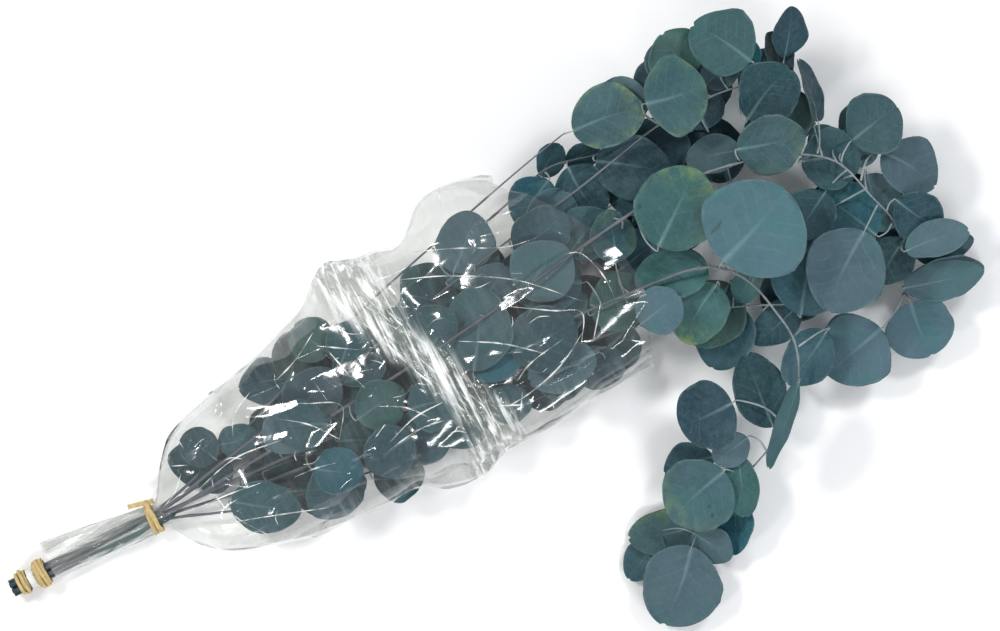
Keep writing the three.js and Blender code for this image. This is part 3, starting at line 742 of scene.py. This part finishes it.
# ---- Small leaves, which only the look has ----
# Where each blade starts, in millimetres along, across and above the table, then its heading, pitch
# and roll in degrees, its length and width in millimetres, and its tint where it isn't deep.
SMALL_LEAVES = [
    # round the crown and the arch
    (478, 100, 46, 30, -5, 10, 28, 22), (541, 78, 50, 0, -5, 8, 45, 46, "dark"),
    (614, 52, 66, 165, -4, 10, 40, 30, "slate"), (612, 105, 60, 15, -4, -8, 32, 28, "slate"),
    (640, 100, 64, 60, 4, 10, 28, 24, "teal"), (650, 62, 60, 75, 0, -12, 44, 34, "slate"),
    (672, 44, 50, -90, -8, 10, 50, 32, "green"), (690, -4, 44, -95, -10, 6, 44, 40, "slate"),
    (694, -46, 32, -10, -10, -14, 30, 24, "slate"), (656, -2, 54, -150, -6, 8, 40, 40),
    (652, -2, 46, -158, -8, -6, 36, 30), (588, 118, 70, 70, -4, 10, 32, 30, "slate"),
    (566, 122, 66, 8, -2, 8, 38, 30, "slate"), (630, 118, 62, 40, 0, -10, 34, 30),
    (664, 84, 56, 80, 6, 30, 36, 28, "dark"), (684, 30, 48, 10, -6, 8, 36, 32, "slate"),
    (682, 18, 54, -30, -6, 10, 24, 22, "slate"), (700, -30, 34, -60, -8, 6, 40, 36, "dark"),
    (694, -58, 32, -146, -6, 6, 38, 36, "dark"), (678, -90, 22, -14, -3, 6, 60, 30, "slate"),
    (690, -66, 30, -8, -4, -6, 48, 26, "slate"), (676, -50, 30, -20, -6, 6, 30, 30),
    (498, 100, 50, -2, -3, 8, 28, 20, "dark"),
    # under the middle, most tinted dark: the leaves' own deep dye and painted shade of the pile's
    # lower layer
    (556, -13, 64, 165, -3, 8, 54, 40, "green"), (550, -8, 56, -172, -4, -10, 48, 36, "teal"),
    (566, -30, 42, -145, -5, 6, 52, 50, "olive"), (606, -66, 46, -165, -6, 14, 46, 32),
    (585, -30, 50, -140, -6, 10, 26, 22, "green"), (586, 2, 40, -20, -4, 6, 50, 46, "dark"),
    (620, -30, 30, -60, -4, 6, 52, 50, "dark"), (560, 44, 44, 40, -3, -8, 50, 48, "dark"),
    (632, 50, 38, 20, -6, 8, 48, 44, "dark"), (596, 84, 42, 60, -2, 8, 48, 44, "dark"),
    (520, 26, 42, 20, -4, 10, 46, 44, "dark"), (514, 58, 46, 10, -4, -10, 46, 42),
    (520, -40, 34, -20, -5, 8, 46, 42, "teal"), (540, 6, 34, 60, 0, 6, 50, 48, "dark"),
    (598, 36, 36, 84, 0, -8, 50, 40, "dark"), (642, -14, 30, 4, -4, 8, 48, 40, "dark"),
    (580, -60, 26, 10, -4, 8, 50, 46, "dark"), (648, 70, 40, 70, -4, -6, 46, 42, "dark"),
    # along the trailing twig
    (528, -136, 32, -170, -5, -10, 30, 26, "slate"), (500, -138, 24, 172, -3, 8, 38, 30),
    (462, -181, 12, -60, -6, 6, 34, 30, "slate"), (440, -172, 6, -150, 0, 5, 40, 28),
    (508, -148, 22, -95, -5, 30, 24, 14), (516, -146, 20, -110, -5, 12, 44, 26, "green"),
    # inside the sleeve, seen through it
    (182, 30, 34, -10, 0, 8, 30, 26), (181, 14, 30, 147, 0, 6, 45, 38),
    (230, -28, 34, -20, 0, 10, 40, 38), (272, -42, 34, -20, 0, -10, 38, 36),
    (250, 48, 40, 50, 0, 8, 38, 36, "brown"), (288, 42, 54, 45, 0, 8, 34, 33),
    (282, 32, 56, 20, 0, -8, 42, 40), (203, -2, 44, -10, 2, 8, 40, 38),
    (240, 22, 50, 25, 2, 6, 48, 45, "slate"), (296, -22, 44, -25, 0, 10, 44, 42),
    (282, 2, 58, 8, 0, 6, 40, 40, "green"), (330, -34, 40, -12, 0, 6, 24, 22),
    (345, 38, 60, 35, 0, 8, 48, 48), (396, 36, 66, 30, 0, -6, 36, 35, "slate"),
    (428, 28, 68, 25, 0, 8, 48, 48, "slate"), (402, -4, 64, 0, 0, 8, 52, 50),
    (408, -22, 54, -20, 0, 8, 48, 46), (372, -28, 46, -35, 0, 10, 32, 30),
    (500, 14, 50, 15, -3, 8, 38, 36), (330, 18, 56, 10, 0, -8, 46, 44),
    (348, -8, 56, -10, 0, 8, 44, 44), (452, 60, 60, 30, 0, 6, 44, 42, "slate"),
    (466, -6, 60, -5, 0, -8, 46, 44, "green"), (436, -34, 42, -20, 0, 8, 40, 36),
    (214, 14, 46, 10, 2, 8, 38, 36, "slate"), (262, -6, 48, -30, 0, 8, 42, 40),
    (312, 40, 46, 10, 0, -8, 44, 42, "slate"),
    # inside the sleeve, high up over the twigs
    (300, 10, 66, 30, 0, 6, 46, 44, "middling"), (262, 8, 62, 160, 0, 6, 40, 38),
    (312, -26, 56, -170, 0, 6, 40, 38), (368, -28, 54, -165, 0, -6, 42, 38),
    (410, -6, 68, 170, 0, 6, 42, 40, "teal"), (470, 40, 68, 20, -2, 6, 42, 40, "middling"),
    (474, 2, 64, -20, -2, 6, 42, 40, "teal"), (318, -8, 64, -15, 0, -6, 42, 40),
    (336, 30, 66, 15, 0, 6, 44, 42), (352, 52, 62, 40, 0, 6, 40, 38, "middling"),
    (372, 14, 70, -10, 0, 6, 46, 44), (384, 62, 64, 10, 0, -6, 44, 42, "middling"),
    (410, 46, 70, -20, 0, 6, 46, 42), (398, -24, 60, 10, 0, 6, 40, 38, "middling"),
    (424, 2, 70, 15, 0, 6, 46, 44, "middling"), (256, 20, 60, -5, 2, 6, 42, 40),
    (222, 8, 54, 12, 3, -6, 38, 36), (238, -16, 48, -30, 0, 6, 36, 34, "teal"),
    (270, 46, 52, 20, 0, 6, 36, 34), (438, 60, 68, 10, 0, 6, 44, 42),
    (426, -18, 62, -20, 0, -6, 44, 42), (330, 46, 64, 0, 0, 6, 42, 40),
    (384, -6, 70, 25, 0, 6, 44, 42),
    # inside the sleeve, in its lower half, most tinted dark: the leaves' own deep dye and painted
    # shade of the pile's lower layer
    (156, 8, 20, 10, 2, 6, 30, 24, "dark"), (186, 0, 22, -15, 2, 8, 32, 28, "dark"),
    (206, 14, 26, 20, 1, -6, 42, 40, "dark"), (214, -24, 22, -15, 0, 6, 42, 40, "dark"),
    (244, 34, 28, 25, 0, 6, 44, 42, "dark"), (250, -10, 26, 5, 0, -6, 46, 44, "dark"),
    (290, 28, 28, 10, 0, 6, 48, 46, "dark"), (292, -14, 26, -20, 0, 6, 48, 44, "dark"),
    (336, 24, 30, 20, 0, 6, 50, 48, "dark"), (340, -14, 28, -20, 0, -6, 48, 46, "dark"),
    (384, 46, 32, 30, 0, 6, 48, 46, "dark"), (386, 8, 30, 0, 0, 6, 50, 48, "dark"),
    (392, -28, 26, -15, 0, 6, 46, 42, "dark"), (436, 44, 34, 20, 0, -6, 50, 48, "dark"),
    (440, 4, 30, 0, 0, 6, 50, 48, "dark"), (446, -30, 26, -10, 0, 6, 46, 42),
    (486, 30, 34, 10, 0, 6, 48, 46), (488, -14, 28, 0, 0, 6, 46, 44),
    # dry strips in the sleeve's narrow tube
    (62, -4, 19, 14, 2, 40, 26, 9, "teal"), (86, -2, 20, 8, 2, 30, 30, 10),
    (104, 2, 22, -6, 3, -35, 28, 9),
]
SLEEVE_END = 445  # how far along the sleeve's film lies over the leaves, in millimetres
SETTLE_STEP = 2.5  # millimetres
SETTLE_TRIES = 14


def facing(heading, pitch, roll):
    """The direction and upper side of a blade with that heading, pitch and roll in degrees."""
    turn = Matrix.Rotation(radians(heading), 3, "Z")
    turn = turn @ Matrix.Rotation(radians(-pitch), 3, "Y")
    turn = turn @ Matrix.Rotation(radians(roll), 3, "X")
    return turn @ Vector((1, 0, 0)), turn @ UP


def tree_of(piece):
    mesh = piece.data
    points = [v.co.copy() for v in mesh.vertices]
    return BVHTree.FromPolygons(points, [p.vertices[:] for p in mesh.polygons])


def blade_tree(base, along, up, length, width):
    """A coarse blade, to test where one has room."""
    side = up.cross(along)
    points = []
    for u in (0.02, 0.2, 0.5, 0.8, 0.98):
        half = half_width(u, width, 0.55)
        for v in (-1, 0, 1):
            points.append(base + along * u * length + side * v * half + up * 0.09 * width * v * v)
    return BVHTree.FromPolygons(points, grid_faces(5, 3)), points


def add_small_leaves(trees):
    """Each small leaf settles up or down to where it meets the fewest others. Those of one twig and
    finish share a mesh. In the sleeve they only settle downwards, so none comes out of the film."""
    clusters = {}
    rng = random.Random(21)
    for number, row in enumerate(SMALL_LEAVES, 1):
        x, y, z, heading, pitch, roll, length, width, *others = row
        tint = others[0] if others else "deep"
        pitch += rng.uniform(-10, 10)
        roll += rng.uniform(-14, 14)
        along, up = facing(heading, pitch, roll)
        length, width = length * MM, width * MM
        best = None  # how many others it meets, its base and its tree, where it meets the fewest
        for step in range(SETTLE_TRIES):
            drop = -SETTLE_STEP * step
            for lift in (drop,) if x < SLEEVE_END else (drop, -drop):
                base = at(x, y, z + lift)
                tree, points = blade_tree(base, along, up, length, width)
                if min(p.z for p in points) < TABLE + 1.5 * MM:
                    continue
                hits = sum(len(tree.overlap(other)) for other in trees)
                if best is None or hits < best[0]:
                    best = (hits, base, tree)
        _, base, tree = best
        trees.append(tree)
        root, twig = nearest_on_twigs(base)
        slot = SLOT_OF.get(tint, "leaf_deep")
        cluster = clusters.setdefault((twig, slot), Foliage())
        spot = base, along, up, length, width
        add_leaf(cluster, spot, root, TINTS[tint], 500 + number)
    for (twig, slot), cluster in clusters.items():
        cluster.finish(f"small_leaves_{twig[5:]}_{slot[5:]}", slot)


# ---- Sleeve ----
ALONG_STEPS = 22  # between two stations of the CAD film
ACROSS_STEPS = 20  # between two of a station's outer points
FILM_RISE = 0.04  # about how high the film puffs up, in metres
# In millimetres along: where the sleeve's narrow tube ends, where its film starts to come loose past
# the neck, and where the gathered fold's flap flares. FLAP is the flap's middle, along and across.
TUBE_END = 124
LOOSE_FROM = 126
FLARE = 302
FLAP = 322, 92


def film_outline(node, upward):
    """The outer points of each station of a CAD film, from the far seam to the near one."""
    outline = []
    for ring in rings_of(node, 18):
        ys = [p.y for p in ring]
        zs = [p.z for p in ring]
        middle = Vector((0, (min(ys) + max(ys)) / 2, min(zs) if upward else max(zs)))
        reach = (max(ys) - min(ys)) / 2

        def angle(p):
            return atan2(abs(p.z - middle.z) / FILM_RISE, (p.y - middle.y) / reach)

        def out(p):
            return abs(p.y - middle.y) / reach + abs(p.z - middle.z) / FILM_RISE

        ordered = sorted(ring, key=angle)
        outline.append([max(ordered[k:k + 2], key=out) for k in range(0, 18, 2)])
    return outline


class Facets:
    """Stiff crinkled film: the height at a point is the highest of the low domes round it, so that
    two domes meet in a straight sharp crease. Lengths are in millimetres."""

    def __init__(self, seed, spacing, stretch, heading, slope):
        rng = random.Random(seed)
        self.turn = Matrix.Rotation(-radians(heading), 2)
        self.stretch, self.spacing, self.slope = stretch, spacing, slope
        self.sites = []
        reach = int(560 / spacing)
        for i in range(-reach, reach + 1):
            for j in range(-reach, reach + 1):
                place = Vector((i + rng.uniform(-0.4, 0.4), j + rng.uniform(-0.4, 0.4), 0)) * spacing
                tilt = Vector((rng.uniform(-1, 1), rng.uniform(-1, 1), 0)) * slope
                self.sites.append((place, tilt, rng.uniform(-0.25, 0.25) * slope * spacing))
        self.tree = KDTree(len(self.sites))
        for number, (place, _, _) in enumerate(self.sites):
            self.tree.insert(place, number)
        self.tree.balance()

    def height(self, x, y):
        q = self.turn @ Vector((x, y))
        q = Vector((q.x / self.stretch, q.y, 0))
        heights = []
        for place, number, distance in self.tree.find_n(q, 5):
            _, tilt, rise = self.sites[number]
            heights.append(rise + tilt.dot(q - place) - self.slope / self.spacing * distance ** 2)
        return max(heights)


# seed, spacing, stretch, heading in degrees and slope
BROAD = Facets(1, 30, 2.0, 12, 0.3)
SMALL = Facets(2, 15, 1.8, -20, 0.19)
PLEATS = Facets(3, 6.5, 5.0, 112, 0.55)
GATHER_HALF_WIDTH = 14
GATHER_TURN_BACK = -42  # where the gathered fold turns back, in millimetres across


def gather_at(y):
    """How far along the sleeve its gathered fold lies, and the fold's half width, at a place across
    it. It slants, turns back near its lower seam and spreads towards both seams."""
    middle = 352 - 0.41 * max(y, GATHER_TURN_BACK) + 0.35 * min(0, y - GATHER_TURN_BACK)
    return middle, GATHER_HALF_WIDTH * (1 + 0.6 * (abs(y - 5) / 75) ** 2)


def crumple(p, seed):
    """How far the film stands out in millimetres, and how gathered it is, at a point."""
    x, y, z = (p - at(0, 0, 0)) / MM
    shift = 37.0 * seed
    fold_x, fold_width = gather_at(y)
    fold_x += 4 * rough(y / 25, seed, 0)
    gathered = exp(-((x - fold_x) / fold_width) ** 4)
    near_neck = exp(-max(0, x - LOOSE_FROM) / 26)
    narrow = max(0.0, min(1, (LOOSE_FROM + 2 - x) / 16))
    puff = 2.4 * rough(x / 60, y / 50, seed)
    loose = puff + BROAD.height(x + shift, y + z * 0.6) - SMALL.height(x - shift, y - z * 0.6)
    tight = 0.7 * SMALL.height(0.8 * x + shift, 2.4 * y + z)
    pleats = PLEATS.height(x, y + z * 0.5)
    height = (1 - near_neck) * loose + near_neck * tight + gathered * (4.2 + 1.6 * pleats)
    flap = exp(-((x - FLAP[0]) / 26) ** 4 - ((y - FLAP[1]) / 26) ** 4)
    return height - 2.4 * (1 - near_neck), max(gathered, 0.6 * narrow, 0.75 * flap)


def flap_reach(p):
    """How far a point near the far seam moves outwards in millimetres, where the film flares."""
    x, y, _ = (p - at(0, 0, 0)) / MM
    return 14 * exp(-((x - FLARE) / 17) ** 2) * max(0.0, min(1, (y - 55) / 35))


# Long folds that stand out of the sleeve's upper film: points along and across in millimetres.
STANDING_FOLDS = [
    [(363, 95), (400, 80), (432, 65), (455, 61)],
    [(354, 78), (388, 64), (429, 40), (464, 6)],
    [(406, 32), (441, 10), (460, -1), (450, -21)],
    [(467, 42), (479, 36), (486, 13), (484, -16)], [(476, 0), (459, -22)],
    [(222, 32), (237, 36), (256, 28), (277, 16), (265, -5)],
    [(230, 29), (250, 14), (265, -5)], [(280, 62), (306, 46)],
    [(286, 55), (292, 31)], [(287, -16), (299, -10)],
    [(296, -23), (320, -15), (344, -14)], [(292, -28), (318, -24), (338, -26)],
    [(170, 14), (166, -2), (172, -22), (189, -47)], [(146, -4), (174, -5), (200, -8)],
    [(150, 6), (190, 16), (228, 13)], [(223, -15), (240, -16), (255, -19)],
    [(375, -33), (394, -42)], [(396, -25), (412, -17), (440, -12)],
    [(397, -33), (388, -48)], [(404, 129), (401, 118), (399, 104)],
    [(409, 128), (404, 112)], [(377, -38), (402, -36), (430, -28), (456, -13)],
    [(160, -22), (200, -34), (236, -46)], [(128, 8), (140, 14), (150, 24)],
    [(372, 20), (400, 4), (424, -16)], [(300, 4), (318, -6), (330, -20)],
    [(330, 92), (346, 84), (370, 84)], [(306, 98), (318, 84), (330, 74)],
    [(240, 52), (262, 60), (282, 72)], [(196, 30), (204, 44), (222, 54)],
]
GATHER_FOLDS = 20
STREWN_FOLDS = 38


def standing_folds():
    """The long folds, the gathered fold's own lengthwise ones, and short ones strewn about."""
    rng = random.Random(11)
    folds = [(path, 0.68) for path in STANDING_FOLDS]
    for _ in range(GATHER_FOLDS):
        share = rng.uniform(-1, 1)
        start = rng.uniform(-20, 90)
        stop = start - rng.uniform(20, 90)
        path = []
        for k in range(4):
            y = start + (stop - start) * k / 3
            middle, half = gather_at(y)
            fan = share * half * (0.5 + 0.5 * (90 - y) / 150)
            path.append((middle + fan + rng.uniform(-1.5, 1.5), y))
        folds.append((path, rng.uniform(0.35, 0.85)))
    for _ in range(STREWN_FOLDS):
        x = rng.uniform(135, 440)
        y = rng.uniform(-70, 100)
        heading = radians(rng.gauss(10, 45))
        size = rng.uniform(5, 20)
        bend = rng.uniform(-0.2, 0.2) * size
        ahead = Vector((cos(heading), sin(heading))) * size
        middle = ahead / 2 + Vector((-ahead.y, ahead.x)) * bend / size
        folds.append(([(x, y), (x + middle.x, y + middle.y), (x + ahead.x, y + ahead.y)],
                      rng.uniform(0.25, 0.5)))
    return folds


# A standing fold's cross-section: how far across and up as shares of its size, and how much painted
# highlight whitens it.
FOLD_SECTION = ((-1, -0.25, 0.3), (-0.35, 0.6, 1), (0.35, 0.6, 1), (1, -0.25, 0.3))


def add_standing_folds(points, faces, crease_highlights, gathers):
    """Adds each fold as a slim tapering tent that follows the film it stands on, with a painted
    highlight whitening its crest.
    """
    skin = BVHTree.FromPolygons(points, faces)
    for path, size in standing_folds():
        flat = spline([Vector((x, y, 0)) for x, y in path], 8)
        line = []
        for p in flat:
            hit = skin.ray_cast(at(p.x, p.y, 150), -UP)
            line.append(hit[0])
        if None in line:
            continue
        start = len(points)
        for i, p in enumerate(line):
            along = line[min(i + 1, len(line) - 1)] - line[max(i - 1, 0)]
            side = along.cross(UP).normalized()
            # glint: the strength of the painted highlight along the fold, which also sets how wide the
            # fold is
            glint = min(1, max(0.15, 0.6 + 1.1 * noise.noise(p / (7 * MM))))
            taper = size * sin(pi * (i + 0.15) / (len(line) - 0.7)) ** 0.7 * MM
            taper *= 0.5 + 0.7 * glint
            for across, rise, highlight_share in FOLD_SECTION:
                points.append(p + side * across * taper + UP * (rise * taper))
                crease_highlights.append(highlight_share * glint)
                gathers.append(0.0)
        faces += grid_faces(len(line), len(FOLD_SECTION), start, True)


def build_film(node, upward, seed):
    """The skin through a CAD film's outer points, crumpled and, on the upper film, with its folds."""
    stations = [spline(row, ACROSS_STEPS) for row in film_outline(node, upward)]
    columns = len(stations[0])
    lines = [spline([row[k] for row in stations], ALONG_STEPS) for k in range(columns)]
    rows = len(lines[0])
    points, crease_highlights, gathers = [], [], []
    for i in range(rows):
        for k in range(columns):
            p = lines[k][i]
            along = lines[k][min(i + 1, rows - 1)] - lines[k][max(i - 1, 0)]
            across = lines[min(k + 1, columns - 1)][i] - lines[max(k - 1, 0)][i]
            normal = along.cross(across).normalized()
            normal = normal if (normal.z > 0) == upward or abs(normal.z) < 0.2 else -normal
            height, gathered = crumple(p, seed)
            seam = min(1, 4 * min(k, columns - 1 - k) / columns)
            height *= (0.25 + 0.75 * seam) if upward else 0.3
            moved = p + normal * height * MM
            moved.y += flap_reach(moved) * MM
            moved.z = max(moved.z, TABLE + 0.2 * MM)
            points.append(moved)
            crease_highlights.append(0.0)
            gathers.append(max(gathered, 0.22 * (1 - seam)))
    faces = grid_faces(rows, columns, 0, True)
    if upward:
        add_standing_folds(points, faces, crease_highlights, gathers)
    piece = make_object(node.replace("sleeve", "clear"), points, faces, [FILM])
    store(piece, "crease_highlight", crease_highlights)
    store(piece, "gather", gathers)
    tube_end = at(TUBE_END, 0, 0).x
    store(piece, "tube", [float(v.co.x < tube_end) for v in piece.data.vertices])
    piece.visible_shadow = False  # so thin and clear that what lies in it stays bright
    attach(piece, "root")
    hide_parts(node)


# ---- Bands and label ----
# A band's cross-section, rounded at its corners, as shares of its width and thickness.
BAND_SECTION = [(-0.5, -0.3), (-0.5, 0.3), (-0.4, 0.5), (0.4, 0.5)]
BAND_SECTION += [(-w, -h) for w, h in BAND_SECTION]
TURN_STEPS = 48
LOOP_STEPS = 28
WOUND_DEPTH = 4.6 * MM  # how deep the wound layers are
NECK_BAND_WIDTH = 3.4


def winding(node, turns, width, thick, slack=0.0):
    """A rubber band wound several times over itself, in its CAD node's box. slack is how far the
    node's loose loop stands out, in millimetres."""
    low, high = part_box(node)
    middle = centre(node)
    width, thick, slack = width * MM, thick * MM, slack * MM
    steps = turns * TURN_STEPS
    middle.y = (low.y + high.y - slack) / 2
    reach_y = (high.y - low.y - slack) / 2 - WOUND_DEPTH
    reach_z = (high.z - low.z) / 2 - WOUND_DEPTH
    slide = (high.x - low.x - width) / 2 * 0.94
    pile = WOUND_DEPTH / thick - 1.6
    points = []
    for i in range(steps):
        phase = tau * i / steps
        a = tau * i / TURN_STEPS
        wander = rough(cos(phase) * 5, sin(phase) * 5, turns)
        uneven = rough(cos(phase) * 9, sin(phase) * 9, 3)
        out = thick * (0.6 + pile * (1 + cos(phase)) / 2 + 0.5 * uneven)
        lean = 0.5 * wander
        sideways = max(-1, min(1, sin(phase) + 0.35 * wander)) * slide
        for w, h in BAND_SECTION:
            across = w * cos(lean) * width - h * sin(lean) * thick
            away = out + h * cos(lean) * thick + w * sin(lean) * width * 0.3
            place = sideways + across, (reach_y + away) * cos(a), (reach_z + away) * sin(a)
            points.append(middle + Vector(place))
    faces = tube_faces(steps, len(BAND_SECTION), True)
    piece = make_object("rubber_" + node, points, faces, [RUBBER])
    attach(piece, "root")
    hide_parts(node)


def build_loose_loop():
    """The neck band's slack: a flat loop that lies along the tube from under the band."""
    level = BUNDLE.z + 5 * MM
    start, end = at(121, 15, 0), at(103, 19, 0)
    path = []
    for i in range(LOOP_STEPS):
        a = tau * i / LOOP_STEPS
        share = 0.5 - 0.5 * cos(a)
        p = start.lerp(end, share)
        lift = 1.1 * sin(a) * (0.7 + 0.6 * share) + 0.5 * sin(3 * share)
        path.append(Vector((p.x, p.y, level + lift * MM)))
    side = (end - start).cross(UP).normalized()
    points = []
    for i, p in enumerate(path):
        along = (path[(i + 1) % LOOP_STEPS] - path[i - 1]).normalized()
        up = along.cross(side)
        width = NECK_BAND_WIDTH * (1 + 0.06 * sin(i)) * MM
        points += [p + side * w * width + up * h * MM for w, h in BAND_SECTION]
    faces = tube_faces(LOOP_STEPS, len(BAND_SECTION), True)
    piece = make_object("rubber_loose_loop", points, faces, [RUBBER])
    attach(piece, "root")


PAPER_THICKNESS = 0.2 * MM


def build_label():
    """A strip of paper most of the way round the bundle, with uneven edges and slightly lifted."""
    low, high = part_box("paper_label")
    middle = Vector(((low.x + high.x) / 2, BUNDLE.y, BUNDLE.z))
    radius = high.y - BUNDLE.y
    columns, steps = 9, 72
    points = []
    for layer in (0, 1):
        for i in range(steps + 1):
            a = radians(-60 + 300 * i / steps)
            lift = 0.5 * MM * (1 + rough(i / 9, 3, 0))
            for k in range(columns):
                share = 2 * k / (columns - 1) - 1
                torn = 0.3 * MM * rough(i / 5, k, 1) * share ** 4
                x = share * (high.x - low.x) / 2 + torn
                r = radius - layer * PAPER_THICKNESS - 0.3 * (MM - lift)
                points.append(middle + Vector((x, r * cos(a), r * sin(a))))
    faces = grid_faces(steps + 1, columns)
    faces += grid_faces(steps + 1, columns, (steps + 1) * columns, True)
    piece = make_object("label_strip", points, faces, [PAPER])
    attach(piece, "root")
    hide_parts("paper_label")


# ---- Assembly ----
make_camera()
make_studio()
LEAF = leaf_material()
STALK = petiole_material()
BARK = bark_material()
FILM = film_material()
RUBBER = rubber_material()
PAPER = paper_material()
TWIGS = {n: twig_path(n)[0] for n in NODES if n.startswith("stem_")}

for index, name in enumerate(sorted(TWIGS)):
    build_twig(name, index)

blade_trees = [tree_of(NODES[n]) for n in NODES if n.startswith("sleeve")]
blade_trees += [tree_of(NODES[n]) for n in TWIGS]
for group, tints in LEAF_TINTS.items():
    names = sorted(n for n in NODES if n.startswith("leaf_" + group))
    for name, tint in zip(names, tints.split(), strict=True):
        spot, root = blade_frame(name)
        foliage = Foliage()
        add_leaf(foliage, spot, root, TINTS[tint], int(name[-2:]), TURNED.get(name, (0, 0, 0)))
        leaf = foliage.finish(name.replace("leaf", "blade"), SLOTS[name])
        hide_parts(name)
        blade_trees.append(blade_tree(*spot)[0])
add_small_leaves(blade_trees)

build_film("sleeve_top_film", True, 1)
build_film("sleeve_bottom_film", False, 2)
winding("neck_band", 2, NECK_BAND_WIDTH, 1.1, 5)
build_loose_loop()
winding("end_band_wide", 7, 2.6, 1.0)
winding("end_band_narrow", 4, 2.6, 1.0)
build_label()
